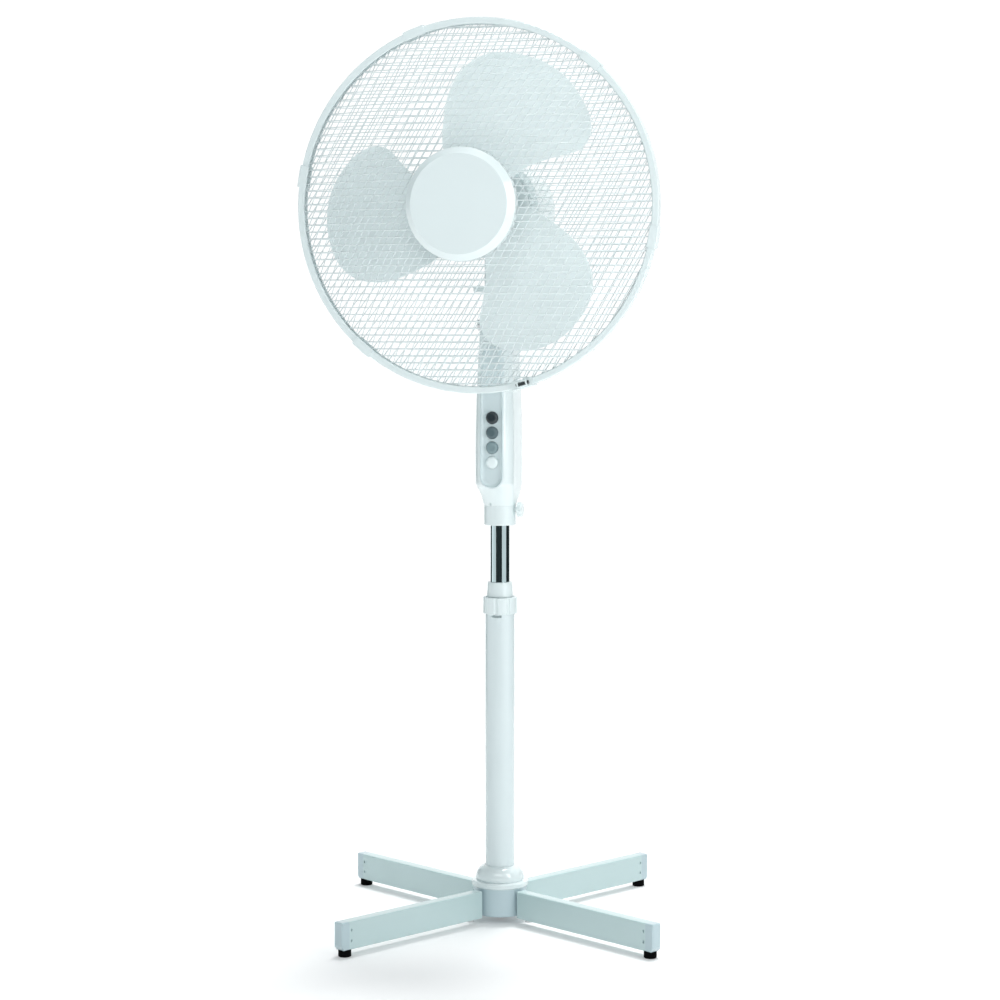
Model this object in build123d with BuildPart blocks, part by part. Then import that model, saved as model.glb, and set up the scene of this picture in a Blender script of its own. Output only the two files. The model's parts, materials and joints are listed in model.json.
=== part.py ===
from build123d import *
import math
import os

# Pedestal fan, millimetres. +Z is up and the origin is on the floor, on the pole's axis.
# The fan blows towards -Y: the guard, the badge and the push buttons all face -Y.
# Order of this file: base, pole, control box, tilting neck, motor and gearbox, fan, guard.

os.makedirs("parts", exist_ok=True)

# ---------------------------------------------------------------- driving dimensions
GAP = 0.3                        # plain clearance between pieces that move past each other
RUN = 0.08                       # radial clearance of a shaft or tube in its bearing

# base
FOOT_R = 7.5
FOOT_H = 8.0
FOOT_CIRCLE_R = 248.0            # radius of the circle that the four feet stand on
BASE_TURN = 14.0                 # the leg cross is turned by this much from the 45 degree lines
LEG_W = 14.0
LEG_H = 33.0
LEG_WALL = 1.2
LEG_IN_R = 36.6
LEG_OUT_R = 246.5
LEG_CAP_R = 258.0
CAP_BEVEL = 3.5
PLUG_DEPTH = 14.0                # the cap's plug reaches this far into the leg
SNAP_IN = 2.9                    # the snap holes sit this far in from the leg's end
LEG_TOP = FOOT_H + LEG_H
HUB_R = 33.0
HUB_BOTTOM = 9.5
HUB_TOP = 43.0
SPIGOT_OUT_R = 64.0
NECK_W = 6.0                     # the spigots start as narrow necks, which leaves a gap behind each leg
NECK_H = 25.0
LEG_SCREW_R = 50.0
FLANGE_R = 34.5
FLANGE_TOP = 50.0
COVER_R = 29.2
COVER_TOP = 68.0

# pole
TUBE_R = 17.5
TUBE_WALL = 1.5
TUBE_BOTTOM = 13.0
TUBE_TOP = 375.0
NOTCH_Z = 372.9                  # slot in the tube's front, just below the collar
NOTCH_W = 12.5
NOTCH_H = 2.6
COLLAR_R = 20.2
COLLAR_TOP = 395.6
COLLET_TOP = 413.6
POLE_R = 11.5
POLE_WALL = 1.2
POLE_BOTTOM = 150.0
POLE_TOP = 538.0

# control box
SOCKET_R = 19.0
SOCKET_BOTTOM = 482.6
SOCKET_TOP = 506.0
BOX_WALL = 2.2
BOX_SPLIT_Y = -8.0               # parting plane between the front and the rear shell
SHOULDER_Z = 702.0
PANEL_HALF_W = 14.5
PANEL_BOTTOM = 528.5
PANEL_TOP = 698.0
PANEL_Y = -36.2                  # face of the recessed panel
BUTTON_R = 7.4
BUTTON_PITCH = 17.7
BUTTON_TOP_Z = 612.6             # centre of the highest button
BUTTON_FACE_Y = -40.2
BUTTON_TRAVEL = 4.0
BUTTON_CROWN = 3.7               # how far the button's face is rounded over
KNOB_STANDOFF = 3.2              # the clamp screw's grip stands this far off the socket
CLAMP_Z = 501.4
GLAND_Z = 545.0

# tilting neck
TILT_Z = 722.0
CHEEK_R = 16.0
SLOT_HALF_W = 10.6
BARREL_R = 18.4
BARREL_BOTTOM = 742.0
DISC_R = 32.0
DISC_BOTTOM = 761.0
DISC_TOP = 768.0
POST_R = 8.0
BASE_COLUMN_TOP = 800.0

# motor and gearbox, around the head's axis
AXIS_Z = 859.0
MOTOR_R = 57.0
MOTOR_FRONT_Y = -45.6
COVER_JOINT_Y = -20.0
DOME_START_Y = 38.0
DOME_END_Y = 88.0
SHAFT_R = 4.0
STATOR_R = 43.0
ROTOR_R = 22.0
WORM_Y = 29.9
WORM_R = 5.0
WHEEL_X = 17.0
WHEEL_R = 11.4
CRANK_X = 2.0
CRANK_Y = 44.0
CRANK_GEAR_R = 15.9
CRANK_ARM_R = 7.0
CRANK_DISC_Z = 815.6
ARM_PIN_X = -14.0
ARM_PIN_Y = 6.0
KNOB_TRAVEL = 8.0

# fan
FAN_Y = -106.0                   # plane through the middle of the blades
FAN_HUB_R = 34.0
BLADE_T = 2.2
BLADE_COUNT = 3
FIRST_BLADE = 66.7               # angle of the first blade from +X towards +Z

# guard
RIM_R = 215.0
RIM_Y = -105.5
RIM_HALF = 6.7
RIM_LIP_R = 207.0
RIM_WALL = 1.5
RING_R = 210.9
RING_WIRE_R = 2.2
MESH_R = 209.0
MESH_WIRE = 1.6
MESH_PITCH = 32.0
MESH_LEAN = 60.0                 # the second family of wires leans this much from the first
FRONT_MESH_Y = -108.1
REAR_MESH_Y = -102.9
FRONT_DOME_R = 375.0
REAR_DOME_R = 395.0
FRONT_PLATE_R = 64.5
REAR_PLATE_R = 48.0
BADGE_R = 64.0
BADGE_FACE_R = 56.5
BADGE_FACE_Y = -181.0
CLIP_ANGLES = [50, 110, 170, 230, 350]
LOCK_ANGLE = 285.7               # the rim's lock, at the bottom
CLIP_SWEEP = 6.8
SECTORS = 12                     # each half of the guard is built in this many equal sectors

AXIS_ORIGIN = (0, 0, AXIS_Z)
HEAD_HALF = Plane(origin=AXIS_ORIGIN, x_dir=(1, 0, 0), z_dir=(0, 0, 1))    # radius along X, Y up
HEAD_AXIS = Axis(AXIS_ORIGIN, (0, -1, 0))


def level(height):
    return Plane.XY.offset(height)


def facing_front(y):
    """A plane whose drawing side looks at -Y, with X to the right and Z up."""
    return Plane(origin=(0, y, 0), x_dir=(1, 0, 0), z_dir=(0, -1, 0))


def head_plane(y):
    """The same, with its centre on the head's axis."""
    return Plane(origin=(0, y, AXIS_Z), x_dir=(1, 0, 0), z_dir=(0, -1, 0))


def upright(angle):
    """A vertical plane through the pole: X runs outwards at angle, Y runs up."""
    out = (math.cos(math.radians(angle)), math.sin(math.radians(angle)), 0)
    side = (math.sin(math.radians(angle)), -math.cos(math.radians(angle)), 0)
    return Plane(origin=(0, 0, 0), x_dir=out, z_dir=side)


# ================================================================ base
LEGS = {
    "front_right": 315 + BASE_TURN,
    "back_right": 45 + BASE_TURN,
    "back_left": 135 + BASE_TURN,
    "front_left": 225 + BASE_TURN,
}
LEG_MID = FOOT_H + LEG_H / 2
LEG_CORNER_R = 1.6
LEG_BORE_W = LEG_W - 2 * LEG_WALL
LEG_BORE_H = LEG_H - 2 * LEG_WALL
STUD_R = 3.0                     # the rubber foot's stud
SNAP_DROPS = (10.0, 22.5)        # the cap's snap holes, below the leg's top


def across_leg(outward, radius):
    """A plane square to a leg, at a radius from the pole, centred at the leg's mid height."""
    return Plane(outward.from_local_coords((radius, LEG_MID)), outward.z_dir, outward.x_dir)


for place, angle in LEGS.items():
    outward = upright(angle)

    # a leg is a rectangular steel tube, drilled below for its screw and near its end for the cap
    with BuildPart() as leg:
        with BuildSketch(across_leg(outward, LEG_IN_R)):
            RectangleRounded(LEG_W, LEG_H, LEG_CORNER_R)
            RectangleRounded(LEG_BORE_W, LEG_BORE_H, 0.8, mode=Mode.SUBTRACT)
        extrude(amount=LEG_OUT_R - LEG_IN_R)
        with BuildSketch(level(FOOT_H - 1)):
            with PolarLocations(LEG_SCREW_R, 1, start_angle=angle):
                Circle(2.8)
        extrude(amount=LEG_WALL + 2, mode=Mode.SUBTRACT)
        with BuildSketch(level(FOOT_H - 1)):
            with PolarLocations(FOOT_CIRCLE_R, 1, start_angle=angle):
                Circle(STUD_R + 0.1)
        extrude(amount=LEG_WALL + 2, mode=Mode.SUBTRACT)
        with BuildSketch(outward.offset(-LEG_W)):
            for drop in SNAP_DROPS:
                with Locations((LEG_OUT_R - SNAP_IN, LEG_TOP - drop)):
                    SlotOverall(3.4, 2.4, rotation=90)
        extrude(amount=2 * LEG_W, mode=Mode.SUBTRACT)
    leg.part.label = f"leg_{place}"
    export_step(leg.part, f"parts/leg_{place}.step")

    # the plastic end cap has a plug inside the tube, and a pad that takes the foot
    with BuildPart() as cap:
        with BuildSketch(across_leg(outward, LEG_OUT_R)):
            RectangleRounded(LEG_W, LEG_H, LEG_CORNER_R)
        extrude(amount=LEG_CAP_R - LEG_OUT_R)
        with BuildSketch(outward.offset(-LEG_W)):
            Polygon(
                (LEG_CAP_R - CAP_BEVEL, FOOT_H),
                (LEG_CAP_R + 1, FOOT_H + (CAP_BEVEL + 1) * 1.4),
                (LEG_CAP_R + 1, FOOT_H),
                align=None,
            )
        extrude(amount=2 * LEG_W, mode=Mode.SUBTRACT)
        outer = cap.faces().sort_by(Axis(outward.origin, outward.x_dir))[-1]
        chamfer(outer.edges(), 1.1)
        with BuildSketch(across_leg(outward, LEG_OUT_R - PLUG_DEPTH)):
            RectangleRounded(LEG_BORE_W - 0.2, LEG_BORE_H - 0.2, 0.7)
        extrude(amount=PLUG_DEPTH + 2)
        with BuildSketch(level(FOOT_H)):
            with PolarLocations(FOOT_CIRCLE_R, 1, start_angle=angle):
                Circle(STUD_R)
        extrude(amount=6, mode=Mode.SUBTRACT)
    cap.part.label = f"leg_cap_{place}"
    export_step(cap.part, f"parts/leg_cap_{place}.step")

    # rubber foot with a stud pressed into the cap
    with BuildPart() as foot:
        with BuildSketch(level(0)):
            with PolarLocations(FOOT_CIRCLE_R, 1, start_angle=angle):
                Circle(FOOT_R)
        extrude(amount=FOOT_H)
        chamfer(foot.faces().sort_by(Axis.Z)[0].edges(), 0.8)
        with BuildSketch(level(FOOT_H)):
            with PolarLocations(FOOT_CIRCLE_R, 1, start_angle=angle):
                Circle(STUD_R)
        extrude(amount=5)
    foot.part.label = f"foot_{place}"
    export_step(foot.part, f"parts/foot_{place}.step")

# the hub carries a spigot for each leg, and holds the tube in its bore
with BuildPart() as base_hub:
    with BuildSketch(level(HUB_BOTTOM)):
        Circle(HUB_R)
    extrude(amount=HUB_TOP - HUB_BOTTOM)
    fillet(base_hub.faces().sort_by(Axis.Z)[0].edges(), 2.0)
    for angle in LEGS.values():
        outward = upright(angle)
        with BuildSketch(across_leg(outward, HUB_R - 6)):
            Rectangle(NECK_W, NECK_H)
        extrude(amount=LEG_IN_R - HUB_R + 8)
        with BuildSketch(across_leg(outward, LEG_IN_R + 1)):
            RectangleRounded(LEG_BORE_W - 0.4, LEG_BORE_H - 0.4, 0.8)
        extrude(amount=SPIGOT_OUT_R - LEG_IN_R - 1)
    with BuildSketch(level(TUBE_BOTTOM)):
        Circle(TUBE_R + 0.05)
    extrude(amount=40, mode=Mode.SUBTRACT)
    with BuildSketch(level(0)):
        Circle(4.1)
    extrude(amount=20, mode=Mode.SUBTRACT)
    with BuildSketch(level(0)):
        with PolarLocations(LEG_SCREW_R, 4, start_angle=45 + BASE_TURN):
            Circle(2.5)
    extrude(amount=FOOT_H + 16, mode=Mode.SUBTRACT)
base_hub.part.label = "base_hub"
export_step(base_hub.part, "parts/base_hub.step")

# four identical screws, driven from below through each leg into its spigot
with BuildPart() as leg_screws:
    with BuildSketch(level(FOOT_H - 2.6)):
        with PolarLocations(LEG_SCREW_R, 4, start_angle=45 + BASE_TURN):
            Circle(4.6)
    extrude(amount=2.6)
    with BuildSketch(level(FOOT_H)):
        with PolarLocations(LEG_SCREW_R, 4, start_angle=45 + BASE_TURN):
            Circle(2.5)
    extrude(amount=14)
leg_screws.part.label = "leg_screws"
export_step(leg_screws.part, "parts/leg_screws.step")

with BuildPart() as base_flange:
    with BuildSketch(level(HUB_TOP)):
        Circle(FLANGE_R)
        Circle(TUBE_R + 0.15, mode=Mode.SUBTRACT)
    extrude(amount=FLANGE_TOP - HUB_TOP)
    chamfer(base_flange.edges().filter_by(GeomType.CIRCLE).group_by(SortBy.RADIUS)[-1], 1.6)
base_flange.part.label = "base_flange"
export_step(base_flange.part, "parts/base_flange.step")

# the base cover is a hollow rounded ring that slides down the tube
COVER_WALL = 1.8
with BuildPart() as base_cover:
    with BuildSketch(Plane.XZ):
        with BuildLine():
            Line((TUBE_R + 0.15, FLANGE_TOP), (COVER_R - 0.8, FLANGE_TOP))
            RadiusArc((COVER_R - 0.8, FLANGE_TOP), (TUBE_R + 0.15, COVER_TOP), -14.5)
            Line((TUBE_R + 0.15, COVER_TOP), (TUBE_R + 0.15, FLANGE_TOP))
        make_face()
        offset(amount=-COVER_WALL, mode=Mode.SUBTRACT)
    revolve(axis=Axis.Z)
base_cover.part.label = "base_cover"
export_step(base_cover.part, "parts/base_cover.step")

# ================================================================ pole
with BuildPart() as outer_tube:
    with BuildSketch(level(TUBE_BOTTOM)):
        Circle(TUBE_R)
        Circle(TUBE_R - TUBE_WALL, mode=Mode.SUBTRACT)
    extrude(amount=TUBE_TOP - TUBE_BOTTOM)
    with BuildSketch(level(TUBE_BOTTOM)):
        Circle(TUBE_R - 0.5)
        Circle(4.0, mode=Mode.SUBTRACT)
    extrude(amount=10)
    with BuildSketch(facing_front(0)):
        with Locations((0, NOTCH_Z)):
            RectangleRounded(NOTCH_W, NOTCH_H, 0.8)
    extrude(amount=TUBE_R + 1, mode=Mode.SUBTRACT)
outer_tube.part.label = "outer_tube"
export_step(outer_tube.part, "parts/outer_tube.step")

with BuildPart() as tube_bolt:
    with BuildSketch(level(HUB_BOTTOM - 1.5)):
        Circle(11)
    extrude(amount=1.5)
    with BuildSketch(level(HUB_BOTTOM - 6)):
        RegularPolygon(6.5, 6, major_radius=False)
    extrude(amount=5)
    with BuildSketch(level(HUB_BOTTOM - 2)):
        Circle(4.0)
    extrude(amount=TUBE_BOTTOM + 14 - HUB_BOTTOM)
tube_bolt.part.label = "tube_bolt"
export_step(tube_bolt.part, "parts/tube_bolt.step")

# split clamping sleeve, fixed in the tube's top end; its upper ring stands above the collar
COLLET_BORE = POLE_R + RUN
with BuildPart() as tube_collet:
    with BuildSketch(Plane.XZ):
        with BuildLine():
            Polyline(
                (COLLET_BORE, TUBE_TOP - 35),
                (TUBE_R - TUBE_WALL, TUBE_TOP - 35),
                (TUBE_R - TUBE_WALL, TUBE_TOP),
                (TUBE_R - 0.4, TUBE_TOP),
                (TUBE_R - 0.4, COLLAR_TOP - 2.5),
                (14.2, COLLAR_TOP - 1.2),
                (14.2, COLLAR_TOP + GAP),
                (15.9, COLLAR_TOP + GAP),
                (14.6, COLLET_TOP),
                (COLLET_BORE, COLLET_TOP),
                close=True,
            )
        make_face()
    revolve(axis=Axis.Z)
    fillet(tube_collet.faces().sort_by(Axis.Z)[-1].edges().sort_by(SortBy.RADIUS)[-1], 1.2)
    with BuildSketch(level(TUBE_TOP + 2)):
        with PolarLocations(POLE_R + 3, 3, start_angle=30):
            Rectangle(10, 1.4)
    extrude(amount=COLLAR_TOP - 6 - TUBE_TOP, mode=Mode.SUBTRACT)
    with BuildSketch(facing_front(-POLE_R - 1.4)):
        with Locations((0, NOTCH_Z)):
            RectangleRounded(NOTCH_W, NOTCH_H, 0.8)
    extrude(amount=TUBE_R, mode=Mode.SUBTRACT)
tube_collet.part.label = "tube_collet"
export_step(tube_collet.part, "parts/tube_collet.step")

# threaded collar with eight hand grips, which squeezes the sleeve on the inner pole
GRIPS = 8
with BuildPart() as height_collar:
    with BuildSketch(level(TUBE_TOP + GAP)):
        Circle(COLLAR_R)
        with PolarLocations(COLLAR_R + 1.6, GRIPS):
            Circle(3.0, mode=Mode.SUBTRACT)
    extrude(amount=COLLAR_TOP - TUBE_TOP - GAP)
    chamfer(height_collar.faces().sort_by(Axis.Z)[-1].edges(), 0.8)
    chamfer(height_collar.faces().sort_by(Axis.Z)[0].edges(), 0.6)
    with BuildSketch(level(TUBE_TOP)):
        Circle(TUBE_R - 0.1)
    extrude(amount=COLLAR_TOP - TUBE_TOP + 2, mode=Mode.SUBTRACT)
height_collar.part.label = "height_collar"
export_step(height_collar.part, "parts/height_collar.step")

with BuildPart() as inner_pole:
    with BuildSketch(level(POLE_BOTTOM)):
        Circle(POLE_R)
        Circle(POLE_R - POLE_WALL, mode=Mode.SUBTRACT)
    extrude(amount=POLE_TOP - POLE_BOTTOM)
inner_pole.part.label = "inner_pole"
export_step(inner_pole.part, "parts/inner_pole.step")

# plastic bush that guides the pole's lower end inside the tube
with BuildPart() as pole_guide:
    with BuildSketch(level(POLE_BOTTOM - 8)):
        Circle(TUBE_R - TUBE_WALL - RUN)
    extrude(amount=8)
    with BuildSketch(level(POLE_BOTTOM)):
        Circle(POLE_R - POLE_WALL)
    extrude(amount=18)
    with BuildSketch(level(POLE_BOTTOM - 8)):
        Circle(6)
    extrude(amount=26, mode=Mode.SUBTRACT)
pole_guide.part.label = "pole_guide"
export_step(pole_guide.part, "parts/pole_guide.step")

# ================================================================ control box
# height, width, depth, centre in Y and corner radius of the box's outside
TAPER = [
    (SOCKET_TOP, 38.2, 38.2, 0.0, 19.0),
    (511.0, 39.2, 44.5, 0.7, 18.6),
    (517.0, 40.6, 55.0, 2.0, 18.8),
    (523.5, 42.5, 64.0, 1.0, 19.0),
    (530.0, 45.2, 72.2, -2.6, 19.8),
    (537.0, 46.4, 75.0, -4.6, 20.0),
]
BODY = [
    (537.0, 46.4, 75.0, -4.6, 20.0),
    (600.0, 46.0, 75.5, -4.6, 20.0),
    (680.0, 42.0, 68.0, -3.6, 18.5),
    (742.0, 38.0, 58.0, -2.0, 17.0),
]


def box_section(section, inset):
    height, width, depth, centre_y, corner = section
    with BuildSketch(Plane(origin=(0, centre_y, height))) as outline:
        RectangleRounded(width - 2 * inset, depth - 2 * inset, corner - inset - 0.05)
    return outline


def box_form(inset):
    """The outside of the control box, or its inside when inset by the wall."""
    with BuildPart() as form:
        for sections in (TAPER, BODY):
            outlines = [box_section(section, inset) for section in sections]
            loft([outline.sketch.face() for outline in outlines])
    return form.part


def shoulders():
    """Side profile that rounds the top of the box off around the tilt axis, 80 mm wide."""
    lean = math.radians(52)
    touch_y = CHEEK_R * math.sin(lean)
    touch_z = TILT_Z + CHEEK_R * math.cos(lean)
    with BuildPart() as keep:
        with BuildSketch(Plane.YZ.offset(-40)):
            with BuildLine():
                Line((-60, 400), (60, 400))
                Line((60, 400), (60, SHOULDER_Z - 24))
                Line((60, SHOULDER_Z - 24), (touch_y, touch_z))
                ThreePointArc((touch_y, touch_z), (0, TILT_Z + CHEEK_R), (-touch_y, touch_z))
                Line((-touch_y, touch_z), (-60, SHOULDER_Z - 24))
                Line((-60, SHOULDER_Z - 24), (-60, 400))
            make_face()
        extrude(amount=80)
    return keep.part


def panel_prism(inset, back_y, front_y, floor_r=0.0):
    """The recess's outline, with round ends, from back_y forward to front_y; floor_r rounds its back."""
    with BuildPart() as prism:
        with BuildSketch(facing_front(back_y)):
            with Locations((0, (PANEL_BOTTOM + PANEL_TOP) / 2)):
                SlotOverall(PANEL_TOP - PANEL_BOTTOM - 2 * inset, 2 * (PANEL_HALF_W - inset), rotation=90)
        extrude(amount=back_y - front_y)
        if floor_r:
            fillet(prism.faces().sort_by(Axis.Y)[-1].edges(), floor_r)
    return prism.part


OUTSIDE = box_form(0)
INSIDE = box_form(BOX_WALL)
SHOULDERS = shoulders()
TRAY = panel_prism(0.15, PANEL_Y + 2.6, -60)
WINDOW = panel_prism(0, PANEL_Y + 2.6 + 0.1, -60)

# screw posts: two beside the socket column, two above the panel
SCREW_PLACES = [(17.4, 538.0), (-17.4, 538.0), (15.4, 694.0), (-15.4, 694.0)]
POST_OUT_R = 3.4
SCREW_R = 1.5

with BuildPart() as box_shell:
    add(OUTSIDE)
    add(SHOULDERS, mode=Mode.INTERSECT)
    with BuildPart(mode=Mode.PRIVATE) as hollow:
        add(INSIDE)
        with BuildSketch(level(SHOULDER_Z)):
            Rectangle(100, 140)
        extrude(amount=100, mode=Mode.SUBTRACT)
        with BuildSketch(level(SOCKET_TOP)):
            Circle(SOCKET_R - BOX_WALL)
        extrude(amount=6)
    add(hollow.part, mode=Mode.SUBTRACT)
    with BuildPart(mode=Mode.PRIVATE) as posts:
        with BuildSketch(facing_front(50)):
            with Locations(*SCREW_PLACES):
                Circle(POST_OUT_R)
        extrude(amount=100)
        add(OUTSIDE, mode=Mode.INTERSECT)
    add(posts.part)
    # the slot that the neck swings in, open at the front, the top and the back
    with BuildSketch(Plane.YZ.offset(-SLOT_HALF_W)):
        with Locations((0, SHOULDER_Z + 4 + 50)):
            Rectangle(160, 100)
    extrude(amount=2 * SLOT_HALF_W, mode=Mode.SUBTRACT)
    # tilt bolt
    with BuildSketch(Plane.YZ.offset(-40)):
        with Locations((0, TILT_Z)):
            Circle(4.0)
    extrude(amount=80, mode=Mode.SUBTRACT)

# small dimple low on the front shell, a little to the left
DIMPLE_PLACE = (-6.2, 508.6)
DIMPLE_R = 1.4
DIMPLE_FLOOR_Y = -17.8

REAR_OF_SPLIT = Plane(origin=(0, BOX_SPLIT_Y, 0), z_dir=(0, 1, 0))

with BuildPart() as box_front:
    add(box_shell.part)
    split(bisect_by=REAR_OF_SPLIT, keep=Keep.BOTTOM)
    add(WINDOW, mode=Mode.SUBTRACT)
    with BuildSketch(facing_front(BOX_SPLIT_Y)):
        with Locations(*SCREW_PLACES):
            Circle(SCREW_R)
    extrude(amount=14, mode=Mode.SUBTRACT)
    with BuildSketch(facing_front(DIMPLE_FLOOR_Y)):
        with Locations(DIMPLE_PLACE):
            Circle(DIMPLE_R)
    extrude(amount=10, mode=Mode.SUBTRACT)
box_front.part.label = "box_front"
export_step(box_front.part, "parts/box_front.step")

SCREW_SEAT_Y = 20.0
with BuildPart() as box_rear:
    add(box_shell.part)
    split(bisect_by=REAR_OF_SPLIT, keep=Keep.TOP)
    with BuildSketch(facing_front(60)):
        with Locations(*SCREW_PLACES):
            Circle(3.05)
    extrude(amount=60 - SCREW_SEAT_Y, mode=Mode.SUBTRACT)
    with BuildSketch(facing_front(60)):
        with Locations(*SCREW_PLACES):
            Circle(SCREW_R)
    extrude(amount=80, mode=Mode.SUBTRACT)
    with BuildSketch(facing_front(60)):
        with Locations((0, GLAND_Z)):
            Circle(5.6)
    extrude(amount=40, mode=Mode.SUBTRACT)
box_rear.part.label = "box_rear"
export_step(box_rear.part, "parts/box_rear.step")

with BuildPart() as box_screws:
    with BuildSketch(facing_front(SCREW_SEAT_Y + 2.2)):
        with Locations(*SCREW_PLACES):
            Circle(2.9)
    extrude(amount=2.2)
    with BuildSketch(facing_front(SCREW_SEAT_Y)):
        with Locations(*SCREW_PLACES):
            Circle(SCREW_R)
    extrude(amount=SCREW_SEAT_Y - BOX_SPLIT_Y + 12)
box_screws.part.label = "box_screws"
export_step(box_screws.part, "parts/box_screws.step")

# the socket turns on the pole, and its column holds the box shells from inside
COLUMN_R = 13.9
with BuildPart() as box_socket:
    with BuildSketch(level(SOCKET_BOTTOM)):
        Circle(SOCKET_R)
    extrude(amount=SOCKET_TOP - 0.1 - SOCKET_BOTTOM)
    fillet(box_socket.faces().sort_by(Axis.Z)[0].edges(), 1.2)
    with BuildSketch(level(SOCKET_BOTTOM + 4)):
        Circle(COLUMN_R)
    extrude(amount=POLE_TOP + 4 - SOCKET_BOTTOM - 4)
    with BuildSketch(level(SOCKET_BOTTOM - 5)):
        Circle(POLE_R + RUN)
    extrude(amount=POLE_TOP + 5 + 0.4 - SOCKET_BOTTOM, mode=Mode.SUBTRACT)
    with BuildSketch(Plane.YZ):
        with Locations((0, CLAMP_Z)):
            Circle(3.0)
    extrude(amount=40, mode=Mode.SUBTRACT)
box_socket.part.label = "box_socket"
export_step(box_socket.part, "parts/box_socket.step")

# clamp screw on the right of the socket, bearing on the pole
with BuildPart() as clamp_screw:
    with BuildSketch(Plane.YZ.offset(POLE_R + 0.1)):
        with Locations((0, CLAMP_Z)):
            Circle(3.0 - 0.05)
    extrude(amount=SOCKET_R + KNOB_STANDOFF + 1 - POLE_R)
    with BuildSketch(Plane.YZ.offset(SOCKET_R + KNOB_STANDOFF)):
        with Locations((0, CLAMP_Z)):
            Circle(8.5)
            with PolarLocations(9.4, 12):
                Circle(1.5, mode=Mode.SUBTRACT)
    extrude(amount=5.6)
    chamfer(clamp_screw.faces().sort_by(Axis.X)[-1].edges(), 0.7)
clamp_screw.part.label = "clamp_screw"
export_step(clamp_screw.part, "parts/clamp_screw.step")

# recessed channel that holds the buttons: a tray whose rim is flush with the shell
BUTTON_PLACES = [(0, BUTTON_TOP_Z - BUTTON_PITCH * i) for i in range(4)]
with BuildPart() as button_panel:
    add(TRAY)
    add(panel_prism(1.0, PANEL_Y, -70, 4.6), mode=Mode.SUBTRACT)
    add(OUTSIDE, mode=Mode.INTERSECT)
    add(SHOULDERS, mode=Mode.INTERSECT)
    with BuildSketch(facing_front(PANEL_Y + 4)):
        with Locations(*BUTTON_PLACES):
            Circle(BUTTON_R + 0.25)
    extrude(amount=8, mode=Mode.SUBTRACT)
button_panel.part.label = "button_panel"
export_step(button_panel.part, "parts/button_panel.step")

BUTTON_BACK_Y = PANEL_Y + 2.6 + GAP
STEM_END_Y = BUTTON_BACK_Y + 8.0
for name, place in zip(("off", "low", "medium", "high"), BUTTON_PLACES):
    with BuildPart() as button:
        with BuildSketch(facing_front(BUTTON_BACK_Y + 1.5)):
            with Locations(place):
                Circle(8.4)
        extrude(amount=1.5)
        with BuildSketch(facing_front(BUTTON_BACK_Y)):
            with Locations(place):
                Circle(BUTTON_R)
        extrude(amount=BUTTON_BACK_Y - BUTTON_FACE_Y)
        fillet(button.faces().sort_by(Axis.Y)[0].edges(), BUTTON_CROWN)
        with BuildSketch(facing_front(STEM_END_Y)):
            with Locations(place):
                Circle(3.0)
        extrude(amount=STEM_END_Y - BUTTON_BACK_Y)
    button.part.label = f"button_{name}"
    export_step(button.part, f"parts/button_{name}.step")

# interlocking switch behind the buttons, standing on two side rails of its own
SWITCH_FRONT_Y = STEM_END_Y + BUTTON_TRAVEL + GAP
SWITCH_MID_Z = BUTTON_TOP_Z - 1.5 * BUTTON_PITCH
with BuildPart() as switch_block:
    with BuildSketch(facing_front(SWITCH_FRONT_Y + 15)):
        with Locations((0, SWITCH_MID_Z)):
            RectangleRounded(26, 76, 2)
    extrude(amount=15)
    with BuildSketch(facing_front(SWITCH_FRONT_Y + 18)):
        with Locations(*BUTTON_PLACES):
            Rectangle(6, 2)
    extrude(amount=4)
switch_block.part.label = "switch_block"
export_step(switch_block.part, "parts/switch_block.step")

# cord inlet: a bush in the rear shell's lower back
with BuildPart() as cord_gland:
    with BuildSketch(facing_front(43)):
        with Locations((0, GLAND_Z)):
            Circle(5.5)
    extrude(amount=16)
    with BuildSketch(facing_front(36.5)):
        with Locations((0, GLAND_Z)):
            Circle(7.5)
    extrude(amount=3.2)
    with BuildSketch(facing_front(60)):
        with Locations((0, GLAND_Z)):
            Circle(3.4)
    extrude(amount=60, mode=Mode.SUBTRACT)
cord_gland.part.label = "cord_gland"
export_step(cord_gland.part, "parts/cord_gland.step")

# tilt bolt through both cheeks and the neck, with a hex head
with BuildPart() as tilt_bolt:
    with BuildSketch(Plane.YZ.offset(-22)):
        with Locations((0, TILT_Z)):
            Circle(4.0)
    extrude(amount=44)
    for start in (-26.5, 20.5):
        with BuildSketch(Plane.YZ.offset(start)):
            with Locations((0, TILT_Z)):
                RegularPolygon(6.5, 6, major_radius=False)
        extrude(amount=6)
tilt_bolt.part.label = "tilt_bolt"
export_step(tilt_bolt.part, "parts/tilt_bolt.step")

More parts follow.
